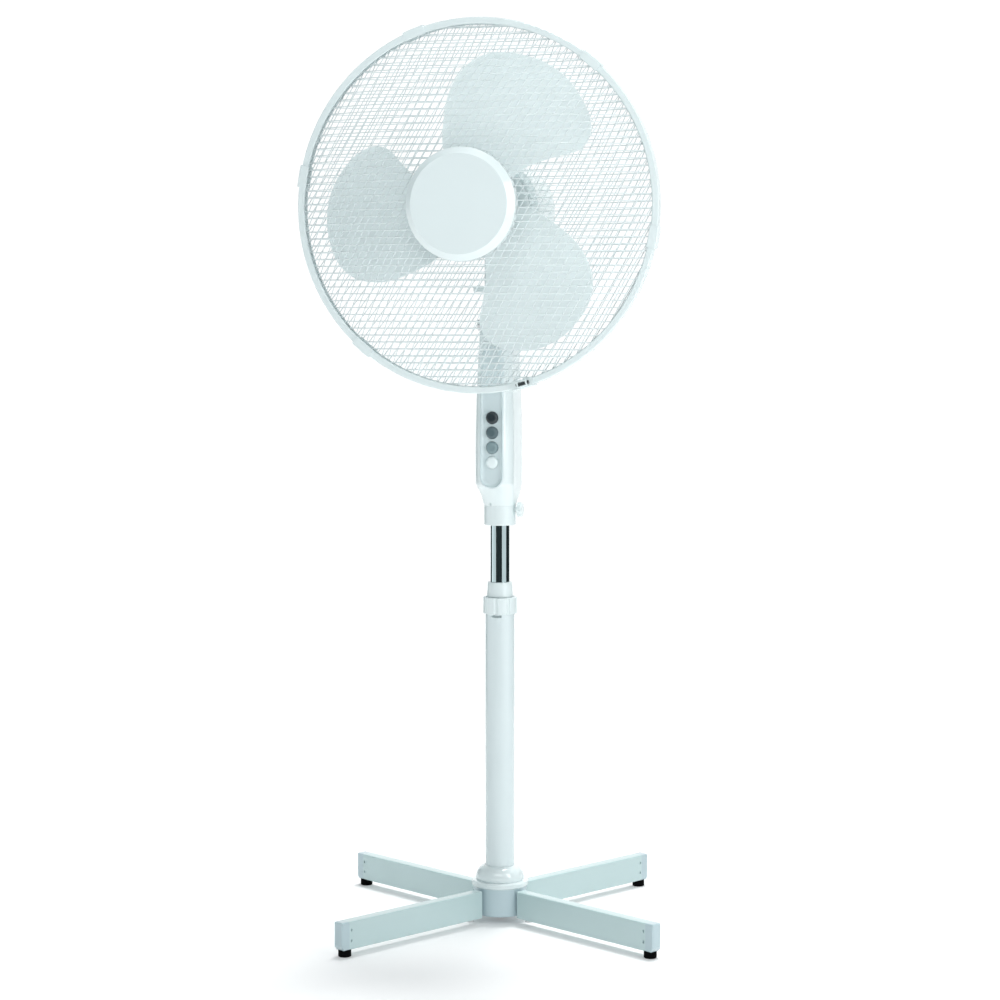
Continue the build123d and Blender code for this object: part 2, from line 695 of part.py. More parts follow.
# ================================================================ tilting neck
LUG_HALF_W = SLOT_HALF_W - 0.4
ARM_BOTTOM = 807.0
ARM_TOP = 810.4
PIN_TOP = 812.0
with BuildPart() as tilt_neck:
    with BuildSketch(Plane.YZ.offset(-LUG_HALF_W)):
        with Locations((0, TILT_Z)):
            Circle(12)
        with BuildLine():
            Polyline(
                (-12, TILT_Z),
                (12, TILT_Z),
                (13, BARREL_BOTTOM + 2),
                (-13, BARREL_BOTTOM + 2),
                close=True,
            )
        make_face()
    extrude(amount=2 * LUG_HALF_W)
    with BuildSketch(level(BARREL_BOTTOM)):
        Circle(BARREL_R)
    extrude(amount=DISC_BOTTOM - BARREL_BOTTOM)
    with BuildSketch(level(DISC_BOTTOM)):
        Circle(DISC_R)
    extrude(amount=DISC_TOP - DISC_BOTTOM)
    fillet(tilt_neck.edges().filter_by(GeomType.CIRCLE).group_by(SortBy.RADIUS)[-1], 1.8)
    with BuildSketch(level(DISC_TOP)):
        Circle(POST_R)
    extrude(amount=ARM_TOP - DISC_TOP)
    # the fixed arm on the post, which the swing link pulls against
    with BuildSketch(level(ARM_BOTTOM)):
        with Locations((ARM_PIN_X, ARM_PIN_Y)):
            Circle(4.5)
        with BuildLine():
            Polyline(
                (-3, -7),
                (ARM_PIN_X - 1.5, ARM_PIN_Y - 4.2),
                (ARM_PIN_X + 1.5, ARM_PIN_Y + 4.2),
                (3, 7),
                close=True,
            )
        make_face()
    extrude(amount=ARM_TOP - ARM_BOTTOM)
    with BuildSketch(level(ARM_TOP)):
        with Locations((ARM_PIN_X, ARM_PIN_Y)):
            Circle(2.0)
    extrude(amount=PIN_TOP - ARM_TOP)
    with BuildSketch(Plane.YZ.offset(-40)):
        with Locations((0, TILT_Z)):
            Circle(4.0 + RUN)
    extrude(amount=80, mode=Mode.SUBTRACT)
tilt_neck.part.label = "tilt_neck"
export_step(tilt_neck.part, "parts/tilt_neck.step")

# ================================================================ motor and gearbox
# the head turns on the neck's post by this column, which carries the gearbox
with BuildPart() as head_base:
    with BuildSketch(level(DISC_TOP + GAP)):
        Circle(BARREL_R)
    extrude(amount=BASE_COLUMN_TOP - DISC_TOP - GAP)
    with BuildSketch(level(BASE_COLUMN_TOP - 4)):
        with Locations((0, 32)):
            RectangleRounded(24, 66, 4)
    extrude(amount=4)
    with BuildSketch(level(BASE_COLUMN_TOP - 4)):
        with Locations((-9.8, 60.5), (9.8, 60.5)):
            Rectangle(4.4, 8)
    extrude(amount=820.4 - BASE_COLUMN_TOP + 4)
    with BuildSketch(level(DISC_TOP)):
        Circle(POST_R + RUN)
    extrude(amount=60, mode=Mode.SUBTRACT)
head_base.part.label = "head_base"
export_step(head_base.part, "parts/head_base.step")


def motor_shell_profile(grow):
    """Half of the rear cover's outline: straight side, then an elliptical dome."""
    with BuildLine() as line:
        side = Line((MOTOR_R + grow, COVER_JOINT_Y), (MOTOR_R + grow, DOME_START_Y))
        dome = EllipticalCenterArc((0, DOME_START_Y), MOTOR_R + grow, DOME_END_Y - DOME_START_Y + grow)
        Line(dome @ 1, (0, COVER_JOINT_Y))
        Line((0, COVER_JOINT_Y), side @ 0)
    return line.line


MOTOR_WALL = 2.0
VENT_COUNT = 11
with BuildPart() as motor_cover_rear:
    with BuildSketch(HEAD_HALF):
        add(motor_shell_profile(0))
        make_face()
    revolve(axis=HEAD_AXIS)
    with BuildPart(mode=Mode.PRIVATE) as cover_hollow:
        with BuildSketch(HEAD_HALF):
            add(motor_shell_profile(-MOTOR_WALL))
            make_face()
        revolve(axis=HEAD_AXIS)
    add(cover_hollow.part, mode=Mode.SUBTRACT)
    # opening over the head base, hole for the swing knob's stem, and the vents at the back
    with BuildSketch(level(770)):
        with Locations((0, 26)):
            RectangleRounded(42, 90, 19)
    extrude(amount=60, mode=Mode.SUBTRACT)
    with BuildSketch(level(890)):
        with Locations((WHEEL_X, WORM_Y)):
            Circle(3.6)
    extrude(amount=60, mode=Mode.SUBTRACT)
    with BuildSketch(head_plane(120)):
        for i in range(VENT_COUNT):
            drop = (i - (VENT_COUNT - 1) / 2) * 5.6
            length = 2 * math.sqrt(34.0**2 - drop**2)
            with Locations((0, drop)):
                SlotOverall(length, 2.6)
    extrude(amount=70, mode=Mode.SUBTRACT)
motor_cover_rear.part.label = "motor_cover_rear"
export_step(motor_cover_rear.part, "parts/motor_cover_rear.step")

# front cover of the motor: a dished plate with a neck for the guard nut and ring of vents
NECK_R = 15.0
with BuildPart() as motor_cover_front:
    with BuildSketch(HEAD_HALF):
        with BuildLine():
            Polyline(
                (5.2, MOTOR_FRONT_Y),
                (MOTOR_R - 6, MOTOR_FRONT_Y),
                (MOTOR_R, MOTOR_FRONT_Y + 6),
                (MOTOR_R, COVER_JOINT_Y - 0.2),
                (MOTOR_R - 2, COVER_JOINT_Y - 0.2),
                (MOTOR_R - 2, MOTOR_FRONT_Y + 7),
                (MOTOR_R - 7, MOTOR_FRONT_Y + 2.2),
                (5.2, MOTOR_FRONT_Y + 2.2),
                close=True,
            )
        make_face()
    revolve(axis=HEAD_AXIS)
    with BuildSketch(head_plane(MOTOR_FRONT_Y)):
        Circle(NECK_R)
        Circle(5.2, mode=Mode.SUBTRACT)
    extrude(amount=14)
    with BuildSketch(head_plane(MOTOR_FRONT_Y + 4)):
        with PolarLocations(36, 24):
            SlotOverall(18, 3)
    extrude(amount=8, mode=Mode.SUBTRACT)
motor_cover_front.part.label = "motor_cover_front"
export_step(motor_cover_front.part, "parts/motor_cover_front.step")

# laminated stator with four coil windows, held between two end brackets
STATOR_FRONT_Y = -18.0
STATOR_BACK_Y = 4.0
with BuildPart() as motor_stator:
    with BuildSketch(head_plane(STATOR_BACK_Y)):
        Circle(STATOR_R)
        Circle(ROTOR_R + 0.6, mode=Mode.SUBTRACT)
        with PolarLocations(31, 8):
            SlotOverall(11, 6, mode=Mode.SUBTRACT)
    extrude(amount=STATOR_BACK_Y - STATOR_FRONT_Y)
motor_stator.part.label = "motor_stator"
export_step(motor_stator.part, "parts/motor_stator.step")

with BuildPart() as motor_windings:
    for start in (STATOR_FRONT_Y - 0.2, STATOR_BACK_Y + 7.2):
        with BuildSketch(head_plane(start)):
            Circle(36)
            Circle(25, mode=Mode.SUBTRACT)
        extrude(amount=7.0)
    fillet(motor_windings.edges().filter_by(GeomType.CIRCLE), 2.2)
motor_windings.part.label = "motor_windings"
export_step(motor_windings.part, "parts/motor_windings.step")

# two end brackets hold the bushes; three pillars on each reach the stator
BUSH_R = 8.0
BRACKET_R = 43.0
FRONT_BRACKET_Y = -28.0
REAR_BRACKET_Y = 12.0
with BuildPart() as motor_brackets:
    for back_y, pillar_y, pillar_end_y in (
        (FRONT_BRACKET_Y, STATOR_FRONT_Y, FRONT_BRACKET_Y),
        (REAR_BRACKET_Y + 3, REAR_BRACKET_Y, STATOR_BACK_Y),
    ):
        with BuildSketch(head_plane(back_y)):
            Circle(BRACKET_R)
            Circle(BUSH_R, mode=Mode.SUBTRACT)
            with PolarLocations(28, 6):
                SlotOverall(16, 8, rotation=90, mode=Mode.SUBTRACT)
        extrude(amount=3)
        with BuildSketch(head_plane(pillar_y)):
            with PolarLocations(40, 3, start_angle=90):
                Circle(2.5)
        extrude(amount=pillar_y - pillar_end_y)
motor_brackets.part.label = "motor_brackets"
export_step(motor_brackets.part, "parts/motor_brackets.step")

with BuildPart() as motor_bushes:
    for start in (-24.5, 17.5):
        with BuildSketch(head_plane(start)):
            Circle(BUSH_R)
            Circle(SHAFT_R + RUN, mode=Mode.SUBTRACT)
        extrude(amount=8)
motor_bushes.part.label = "motor_bushes"
export_step(motor_bushes.part, "parts/motor_bushes.step")

# gearbox housing: an open-fronted casting around the worm, the wheel and the crank
GEAR_FLOOR = 820.6
GEAR_ROOF = 876.0
WHEEL_Z = AXIS_Z
with BuildPart() as gearbox_housing:
    with BuildSketch(level(GEAR_FLOOR)):
        with Locations((7.0, 39.7)):
            RectangleRounded(48, 47.4, 8)
    extrude(amount=GEAR_ROOF - GEAR_FLOOR)
    with BuildSketch(level(GEAR_FLOOR + 2.4)):
        with Locations((7.0, 39.7)):
            RectangleRounded(45, 43.4, 6.5)
    extrude(amount=GEAR_ROOF - GEAR_FLOOR - 4.8, mode=Mode.SUBTRACT)
    with BuildSketch(head_plane(22)):
        Circle(8.2)
    extrude(amount=10, mode=Mode.SUBTRACT)
    with BuildSketch(level(GEAR_FLOOR - 5)):
        with Locations((CRANK_X, CRANK_Y)):
            Circle(4.0 + RUN)
    extrude(amount=10, mode=Mode.SUBTRACT)
    with BuildSketch(level(GEAR_ROOF - 10)):
        with Locations((WHEEL_X, WORM_Y)):
            Circle(3.0 + RUN)
    extrude(amount=20, mode=Mode.SUBTRACT)
gearbox_housing.part.label = "gearbox_housing"
export_step(gearbox_housing.part, "parts/gearbox_housing.step")


def toothed(radius, count, depth):
    """Outline of a small gear: a disc with a ring of square tooth gaps."""
    Circle(radius)
    with PolarLocations(radius, count):
        Rectangle(2 * depth, 0.5 * 2 * math.pi * radius / count, mode=Mode.SUBTRACT)


# worm wheel with its pinion below, on one arbor
PINION_R = 4.4
GEAR_BOTTOM = 830.0
GEAR_H = 6.0
with BuildPart() as worm_wheel:
    with BuildSketch(Plane(origin=(WHEEL_X, WORM_Y, WHEEL_Z - 4))):
        toothed(WHEEL_R, 24, 0.8)
    extrude(amount=8)
    with BuildSketch(Plane(origin=(WHEEL_X, WORM_Y, GEAR_BOTTOM))):
        toothed(PINION_R, 10, 0.6)
    extrude(amount=GEAR_H + 2)
    with BuildSketch(Plane(origin=(WHEEL_X, WORM_Y, GEAR_FLOOR + 2.6))):
        Circle(2.5)
    extrude(amount=GEAR_ROOF - 2.8 - GEAR_FLOOR - 2.6)
worm_wheel.part.label = "worm_wheel"
export_step(worm_wheel.part, "parts/worm_wheel.step")

# crank gear: its shaft passes down through the floor to a disc with an offset pin
CRANK_PIN_R = 2.0
CRANK_PIN_BOTTOM = 812.4
with BuildPart() as crank_gear:
    with BuildSketch(Plane(origin=(CRANK_X, CRANK_Y, GEAR_BOTTOM))):
        toothed(CRANK_GEAR_R, 34, 0.6)
    extrude(amount=GEAR_H)
    with BuildSketch(Plane(origin=(CRANK_X, CRANK_Y, CRANK_DISC_Z))):
        Circle(4.0)
    extrude(amount=GEAR_BOTTOM - CRANK_DISC_Z)
    with BuildSketch(Plane(origin=(CRANK_X, CRANK_Y, CRANK_DISC_Z))):
        Circle(10.0)
    extrude(amount=3.0)
    with BuildSketch(Plane(origin=(CRANK_X - CRANK_ARM_R, CRANK_Y, CRANK_PIN_BOTTOM))):
        Circle(CRANK_PIN_R)
    extrude(amount=CRANK_DISC_Z - CRANK_PIN_BOTTOM)
crank_gear.part.label = "crank_gear"
export_step(crank_gear.part, "parts/crank_gear.step")

# swing link from the crank pin to the neck's fixed arm
LINK_BOTTOM = PIN_TOP + 0.4
LINK_T = 2.6
LINK_FROM = Vector(CRANK_X - CRANK_ARM_R, CRANK_Y, LINK_BOTTOM)
LINK_TO = Vector(ARM_PIN_X, ARM_PIN_Y, LINK_BOTTOM)
LINK_RUN = LINK_TO - LINK_FROM
with BuildPart() as osc_link:
    with BuildSketch(Plane(origin=LINK_FROM, x_dir=LINK_RUN, z_dir=(0, 0, 1))):
        with Locations((LINK_RUN.length / 2, 0)):
            SlotCenterToCenter(LINK_RUN.length, 8)
        Circle(CRANK_PIN_R + RUN, mode=Mode.SUBTRACT)
        with Locations((LINK_RUN.length, 0)):
            Circle(2.2, mode=Mode.SUBTRACT)
    extrude(amount=LINK_T)
osc_link.part.label = "osc_link"
export_step(osc_link.part, "parts/osc_link.step")

# pull knob on top of the motor, which lifts the clutch and stops the swing
KNOB_BOTTOM = 917.0
with BuildPart() as osc_knob:
    with BuildSketch(Plane(origin=(WHEEL_X, WORM_Y, GEAR_ROOF - 1.6))):
        Circle(3.0)
    extrude(amount=KNOB_BOTTOM - GEAR_ROOF + 1.6)
    with BuildSketch(Plane(origin=(WHEEL_X, WORM_Y, KNOB_BOTTOM))):
        Circle(7.0)
    extrude(amount=12)
    fillet(osc_knob.faces().sort_by(Axis.Z)[-1].edges(), 2.0)
osc_knob.part.label = "osc_knob"
export_step(osc_knob.part, "parts/osc_knob.step")

# ================================================================ fan
SHAFT_FRONT_Y = -136.0
SHAFT_BACK_Y = 38.0
with BuildPart() as motor_shaft:
    with BuildSketch(head_plane(SHAFT_BACK_Y)):
        Circle(SHAFT_R)
    extrude(amount=SHAFT_BACK_Y - SHAFT_FRONT_Y)
    with BuildSketch(head_plane(SHAFT_BACK_Y)):
        toothed(WORM_R, 8, 0.5)
    extrude(amount=16)
motor_shaft.part.label = "motor_shaft"
export_step(motor_shaft.part, "parts/motor_shaft.step")

with BuildPart() as rotor_core:
    with BuildSketch(head_plane(STATOR_BACK_Y)):
        Circle(ROTOR_R)
        Circle(SHAFT_R, mode=Mode.SUBTRACT)
    extrude(amount=STATOR_BACK_Y - STATOR_FRONT_Y)
rotor_core.part.label = "rotor_core"
export_step(rotor_core.part, "parts/rotor_core.step")

# three broad blades and their hub in one moulding
# outline of a blade in the head's plane: distance out along its own line, distance clockwise of it
OUTLINE = [
    (16, -20), (32, -42), (50.5, -57), (75, -66.5), (103.5, -73.5), (130.5, -72), (152, -63.5), (169, -45),
    (179, -16), (180.5, 12.5), (172.5, 43), (159, 64), (140.5, 81), (121.5, 86.5), (106.5, 82.5),
    (93.5, 68.5), (80.5, 52.5), (64, 35.5), (47, 26), (20, 18),
]
# distance out along the blade, pitch in degrees, camber in millimetres
TWIST = [(10, 24.0, 4.0), (70, 20.0, 4.5), (130, 15.5, 4.0), (192, 13.0, 2.5)]
SLAB_HALF = 100.0


def blade_section(out, pitch, camber):
    """A thin cambered strip standing square to the blade's own line."""
    section_plane = Plane(
        origin=(0, FAN_Y, AXIS_Z + out), x_dir=(1, 0, 0), z_dir=(0, 0, 1)
    )
    lean = math.tan(math.radians(pitch)) * SLAB_HALF
    with BuildSketch(section_plane) as strip:
        with BuildLine():
            low = ThreePointArc((-SLAB_HALF, -lean), (0, -camber - BLADE_T / 2), (SLAB_HALF, lean))
            high = ThreePointArc(
                (SLAB_HALF, lean + BLADE_T),
                (0, -camber + BLADE_T / 2),
                (-SLAB_HALF, -lean + BLADE_T),
            )
            Line(low @ 1, high @ 0)
            Line(high @ 1, low @ 0)
        make_face()
    return strip.sketch.face()


with BuildPart() as upright_blade:
    loft([blade_section(*station) for station in TWIST])
    with BuildSketch(head_plane(0)):
        with BuildLine():
            Spline(*[(v, u) for u, v in OUTLINE], periodic=True)
        make_face()
    extrude(amount=220, mode=Mode.INTERSECT)

with BuildPart() as fan_blades:
    with BuildSketch(HEAD_HALF):
        with BuildLine():
            Line((SHAFT_R, -134), (12, -134))
            ThreePointArc((12, -134), (27, -129), (FAN_HUB_R, -116))
            Polyline((FAN_HUB_R, -116), (FAN_HUB_R, -78), (FAN_HUB_R - 2.5, -78), (FAN_HUB_R - 2.5, -115))
            ThreePointArc((FAN_HUB_R - 2.5, -115), (25, -126.5), (12, -131))
            Polyline((12, -131), (12, -84), (SHAFT_R, -84), (SHAFT_R, -134))
        make_face()
    revolve(axis=HEAD_AXIS)
    with BuildPart(mode=Mode.PRIVATE) as three_blades:
        for i in range(BLADE_COUNT):
            add(upright_blade.part.rotate(HEAD_AXIS, FIRST_BLADE - 90 + i * 360 / BLADE_COUNT))
        with BuildSketch(head_plane(0)):
            Circle(FAN_HUB_R - 1.2)
        extrude(amount=220, mode=Mode.SUBTRACT)
    add(three_blades.part)
fan_blades.part.label = "fan_blades"
export_step(fan_blades.part, "parts/fan_blades.step")

# left-hand threaded nut that holds the fan on the shaft
with BuildPart() as spinner_nut:
    with BuildSketch(head_plane(-134.2)):
        Circle(15)
    extrude(amount=11)
    chamfer(spinner_nut.faces().sort_by(Axis.Y)[0].edges(), 1.2)
    with BuildSketch(head_plane(-134)):
        with PolarLocations(15.8, 10):
            Circle(1.6)
    extrude(amount=14, mode=Mode.SUBTRACT)
    with BuildSketch(head_plane(-134.0)):
        Circle(SHAFT_R)
    extrude(amount=2.2, mode=Mode.SUBTRACT)
spinner_nut.part.label = "spinner_nut"
export_step(spinner_nut.part, "parts/spinner_nut.step")

# ================================================================ guard


def dome(sphere_r, edge_y, plate_r, bulge):
    """A thin spherical zone from the rim in to the centre plate; bulge is -1 in front, +1 behind."""
    centre_y = edge_y - bulge * math.sqrt(sphere_r**2 - MESH_R**2)

    def at(radius, r):
        return (r, centre_y + bulge * math.sqrt(radius**2 - r**2))

    inner = sphere_r - MESH_WIRE
    middle_r = (MESH_R + plate_r) / 2
    with BuildPart() as zone:
        with BuildSketch(HEAD_HALF):
            with BuildLine():
                ThreePointArc(at(sphere_r, plate_r - 2), at(sphere_r, middle_r), at(sphere_r, MESH_R))
                Line(at(sphere_r, MESH_R), at(inner, MESH_R))
                ThreePointArc(at(inner, MESH_R), at(inner, middle_r), at(inner, plate_r - 2))
                Line(at(inner, plate_r - 2), at(sphere_r, plate_r - 2))
            make_face()
        revolve(axis=HEAD_AXIS)
    return zone.part, at(sphere_r, plate_r)[1]


def mesh_openings(plate_r):
    """Rhombic openings between the level wires and the leaning wires, as one group of prisms."""
    lean = math.radians(MESH_LEAN)
    half_high = (MESH_PITCH - MESH_WIRE) / 2
    half_wide = half_high / math.sin(lean)
    shift = half_high / math.tan(lean)
    corners = [
        (-half_wide - shift, -half_high),
        (half_wide - shift, -half_high),
        (half_wide + shift, half_high),
        (-half_wide + shift, half_high),
    ]
    rows = int(MESH_R / MESH_PITCH) + 1
    columns = 2 * rows
    centres = []
    for row in range(-rows, rows + 1):
        for column in range(-columns, columns + 1):
            z = (row + 0.5) * MESH_PITCH
            x = (column + 0.5) * MESH_PITCH / math.sin(lean) + z / math.tan(lean)
            reach = [math.hypot(x + dx, z + dz) for dx, dz in corners]
            if max(reach) < RING_R - RING_WIRE_R - 1 and min(reach) > plate_r + 1:
                centres.append((x, z))
    with BuildPart() as prisms:
        with BuildSketch(head_plane(20)):
            with Locations(*centres):
                Polygon(*corners, align=None)
        extrude(amount=240)
    return prisms.part


def guard_half(sphere_r, edge_y, plate_r, bulge, hole_r):
    """Wire dome, rim ring and centre plate, welded into one, then parted in equal sectors."""
    zone, plate_y = dome(sphere_r, edge_y, plate_r, bulge)
    with BuildPart() as half:
        add(zone)
        add(mesh_openings(plate_r), mode=Mode.SUBTRACT)
        with BuildSketch(HEAD_HALF):
            with Locations((RING_R, edge_y)):
                Circle(RING_WIRE_R)
        revolve(axis=HEAD_AXIS)
        with BuildSketch(head_plane(plate_y - bulge * 1.0 + 1.2)):
            Circle(plate_r)
            if hole_r:
                Circle(hole_r, mode=Mode.SUBTRACT)
        extrude(amount=2.4)
        for i in range(SECTORS // 2):
            turn = 2 * math.pi * i / SECTORS
            cut = Plane(origin=AXIS_ORIGIN, z_dir=(math.cos(turn), 0, math.sin(turn)))
            split(bisect_by=cut, keep=Keep.BOTH)
    return half.part, plate_y


rear_guard, rear_plate_y = guard_half(REAR_DOME_R, REAR_MESH_Y, REAR_PLATE_R, 1, NECK_R + 0.2)
rear_guard.label = "rear_guard"
export_step(rear_guard, "parts/rear_guard.step")

front_guard, front_plate_y = guard_half(FRONT_DOME_R, FRONT_MESH_Y, FRONT_PLATE_R, -1, 0)
front_guard.label = "front_guard"
export_step(front_guard, "parts/front_guard.step")

# large plastic nut that holds the rear guard on the motor's neck
with BuildPart() as guard_nut:
    with BuildSketch(head_plane(rear_plate_y - 2.3)):
        Circle(27)
        Circle(NECK_R, mode=Mode.SUBTRACT)
    extrude(amount=7)
    chamfer(guard_nut.edges().filter_by(GeomType.CIRCLE).group_by(SortBy.RADIUS)[-1], 0.8)
    with BuildSketch(head_plane(rear_plate_y)):
        with PolarLocations(28.2, 12):
            Circle(2.6)
    extrude(amount=20, mode=Mode.SUBTRACT)
guard_nut.part.label = "guard_nut"
export_step(guard_nut.part, "parts/guard_nut.step")

# bevelled plastic cap over the front plate, open behind
BADGE_BACK_Y = front_plate_y - 1.2
with BuildPart() as badge:
    with BuildSketch(HEAD_HALF):
        with BuildLine():
            Polyline(
                (0, BADGE_FACE_Y),
                (BADGE_FACE_R, BADGE_FACE_Y),
                (BADGE_R, BADGE_FACE_Y + 7.0),
                (BADGE_R, BADGE_BACK_Y),
                (BADGE_R - 1.8, BADGE_BACK_Y),
                (BADGE_R - 1.8, BADGE_FACE_Y + 7.6),
                (BADGE_FACE_R - 1.0, BADGE_FACE_Y + 1.8),
                (0, BADGE_FACE_Y + 1.8),
                close=True,
            )
        make_face()
    revolve(axis=HEAD_AXIS)
badge.part.label = "badge"
export_step(badge.part, "parts/badge.step")

# channel-section rim that closes over both ring wires
with BuildPart() as guard_rim:
    with BuildSketch(HEAD_HALF):
        with Locations(((RIM_LIP_R + RIM_R) / 2, RIM_Y)):
            RectangleRounded(RIM_R - RIM_LIP_R, 2 * RIM_HALF, 1.4)
        with Locations(((RIM_LIP_R + RIM_R) / 2 - RIM_WALL, RIM_Y)):
            Rectangle(RIM_R - RIM_LIP_R, 2 * (RIM_HALF - RIM_WALL), mode=Mode.SUBTRACT)
    revolve(axis=HEAD_AXIS)
guard_rim.part.label = "guard_rim"
export_step(guard_rim.part, "parts/guard_rim.step")


def rim_clip(angle, sweep, proud):
    """A U-shaped clip around the rim, standing proud of it, centred at angle from +X towards +Z."""
    start = HEAD_HALF.rotated((0, -(angle - sweep / 2), 0))
    inside = RIM_HALF + 0.05
    with BuildPart() as clip:
        with BuildSketch(start):
            with Locations((RIM_R + proud - (RIM_R + proud - RIM_LIP_R + 1) / 2, RIM_Y)):
                RectangleRounded(RIM_R + proud - RIM_LIP_R + 1, 2 * (inside + 1.3), 1.2)
            with Locations((RIM_R + 0.05 - 10, RIM_Y)):
                Rectangle(20, 2 * inside, mode=Mode.SUBTRACT)
        revolve(axis=HEAD_AXIS, revolution_arc=sweep)
    return clip.part


with BuildPart() as rim_clips:
    for angle in CLIP_ANGLES:
        add(rim_clip(angle, CLIP_SWEEP, 1.6))
rim_clips.part.label = "rim_clips"
export_step(rim_clips.part, "parts/rim_clips.step")

# the sixth clip is the lock: a lug on its front carries a small screw across an open slot
LOCK = HEAD_HALF.rotated((0, -LOCK_ANGLE, 0))
LUG_Y = RIM_Y - RIM_HALF - 3.3
LUG_HALF = 6.4
LUG_END = 2.0                    # thickness of the lug's two ends, on either side of the slot
with BuildPart() as rim_lock:
    add(rim_clip(LOCK_ANGLE, CLIP_SWEEP, 1.6))
    with BuildSketch(LOCK.offset(-LUG_HALF)):
        with Locations((RING_R, LUG_Y)):
            RectangleRounded(8.0, 5.0, 1.0)
    extrude(amount=2 * LUG_HALF)
    with BuildSketch(LOCK.offset(-LUG_HALF + LUG_END)):
        with Locations((RING_R, LUG_Y - 1.4)):
            Rectangle(4.8, 5.0)
    extrude(amount=2 * (LUG_HALF - LUG_END), mode=Mode.SUBTRACT)
    with BuildSketch(LOCK.offset(-LUG_HALF - 1)):
        with Locations((RING_R, LUG_Y - 0.4)):
            Circle(1.6)
    extrude(amount=2 * LUG_HALF + 2, mode=Mode.SUBTRACT)
rim_lock.part.label = "rim_lock"
export_step(rim_lock.part, "parts/rim_lock.step")

with BuildPart() as lock_screw:
    with BuildSketch(LOCK.offset(-LUG_HALF - 1)):
        with Locations((RING_R, LUG_Y - 0.4)):
            Circle(1.5)
    extrude(amount=2 * LUG_HALF + 1.1)
    with BuildSketch(LOCK.offset(LUG_HALF + 0.1)):
        with Locations((RING_R, LUG_Y - 0.4)):
            Circle(2.2)
    extrude(amount=1.8)
lock_screw.part.label = "lock_screw"
export_step(lock_screw.part, "parts/lock_screw.step")
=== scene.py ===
"""Looks of the pedestal fan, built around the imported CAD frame. Metres; the fan faces -Y, +Z is up."""
import json
import math

import bpy
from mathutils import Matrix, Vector


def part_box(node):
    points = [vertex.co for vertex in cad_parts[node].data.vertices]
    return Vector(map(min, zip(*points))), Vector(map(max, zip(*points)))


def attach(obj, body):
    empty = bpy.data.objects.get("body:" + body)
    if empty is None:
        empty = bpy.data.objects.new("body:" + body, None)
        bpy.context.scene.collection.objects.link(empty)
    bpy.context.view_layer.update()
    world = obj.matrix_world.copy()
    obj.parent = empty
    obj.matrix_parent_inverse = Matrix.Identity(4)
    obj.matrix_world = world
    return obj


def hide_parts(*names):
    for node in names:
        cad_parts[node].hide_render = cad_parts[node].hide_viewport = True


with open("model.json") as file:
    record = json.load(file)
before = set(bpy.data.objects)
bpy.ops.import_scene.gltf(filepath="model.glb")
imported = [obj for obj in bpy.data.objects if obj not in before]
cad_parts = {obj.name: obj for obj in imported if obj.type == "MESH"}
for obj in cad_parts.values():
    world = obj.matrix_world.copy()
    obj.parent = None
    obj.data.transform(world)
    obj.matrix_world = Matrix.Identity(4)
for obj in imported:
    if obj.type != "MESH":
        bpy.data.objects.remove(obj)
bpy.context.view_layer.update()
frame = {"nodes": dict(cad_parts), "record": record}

# ---------------------------------------------------------------- places read from the frame
rim_low, rim_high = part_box("guard_rim")
front_low, front_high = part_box("front_guard")
rear_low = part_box("rear_guard")[0]
AXIS = Vector((0, 0, (rim_low.z + rim_high.z) / 2))         # a point on the head's own axis

# ---------------------------------------------------------------- wire guard, as the real one is welded
WIRE_R = 0.0006
WIRE_PITCH = 0.008
WIRE_LEANS = (0.0, math.radians(60))    # one family is level, the other rises to the right
WIRE_LAYER = 2 * WIRE_R * 0.8           # the second family lies inside the first, sunk into it by the weld
WIRE_STEP = 0.006                       # length of one straight piece of a bent wire
WIRE_SIDES = 6
WIRE_TUCK = 0.003                       # how far a wire's end reaches under the middle plate
RING_WIRE_R = 0.0022
RING_WIRE_SIDES = 10
RING_STEPS = 128
RING_R = (front_high.x - front_low.x) / 2 - RING_WIRE_R
FRONT_RING_Y = front_high.y - RING_WIRE_R
REAR_RING_Y = rear_low.y + RING_WIRE_R
DOME_EDGE_R = 0.209
FRONT_DOME_R = 0.375
REAR_DOME_R = 0.395
PLATE_HALF = 0.0008                     # half the thickness of the middle plate
PLATE_INSET = 0.001                     # how far the plate stands inside the dome
PLATE_LIP = 0.004                       # width of its turned edge
PLATE_LIP_DROP = 0.0015                 # how far that edge turns inwards
PLATE_STEPS = 96
FRONT_PLATE_R = 0.0645
FRONT_HOLE_R = 0.0005                   # a pinhole under the badge keeps the turned outline off its axis
REAR_PLATE_R = 0.048
REAR_HOLE_R = 0.0152

# ---------------------------------------------------------------- camera
CAMERA_AZIMUTH = math.radians(15.0)
CAMERA_DISTANCE = 2.936
CAMERA_HEIGHT = 0.745
CAMERA_PITCH = math.radians(4.534)      # below level
CAMERA_LENS = 88.15
CAMERA_SENSOR = 36.0
CAMERA_REACH = 200

# ---------------------------------------------------------------- stage and light
WORLD_STRENGTH = 1.06
SUN_ENERGY = 2.0
SUN_ANGLE = math.radians(16)
SUN_TURN = (math.radians(-13), math.radians(3), 0)
KEY_POWER = 17
FRONT_POWER = 11.5
STRIP_POWER = 2
FLOOR_HALF = 40.0
FLOOR_GLOW = 0.14                       # the floor is a lit white sheet
BACKDROP_RADIUS = 38.0
BACKDROP_HEIGHT = 30.0
BACKDROP_STEPS = 64
BACKDROP_GLOW = 1.05
FLAGS = ((-50, 24), (80, 142), (-150, -116))    # angles from the camera's bearing, to its right
FLAG_RADIUS = 1.6
FLAG_HEIGHT = 0.66
FLAG_STEP = 4                           # degrees covered by one flat strip of a card

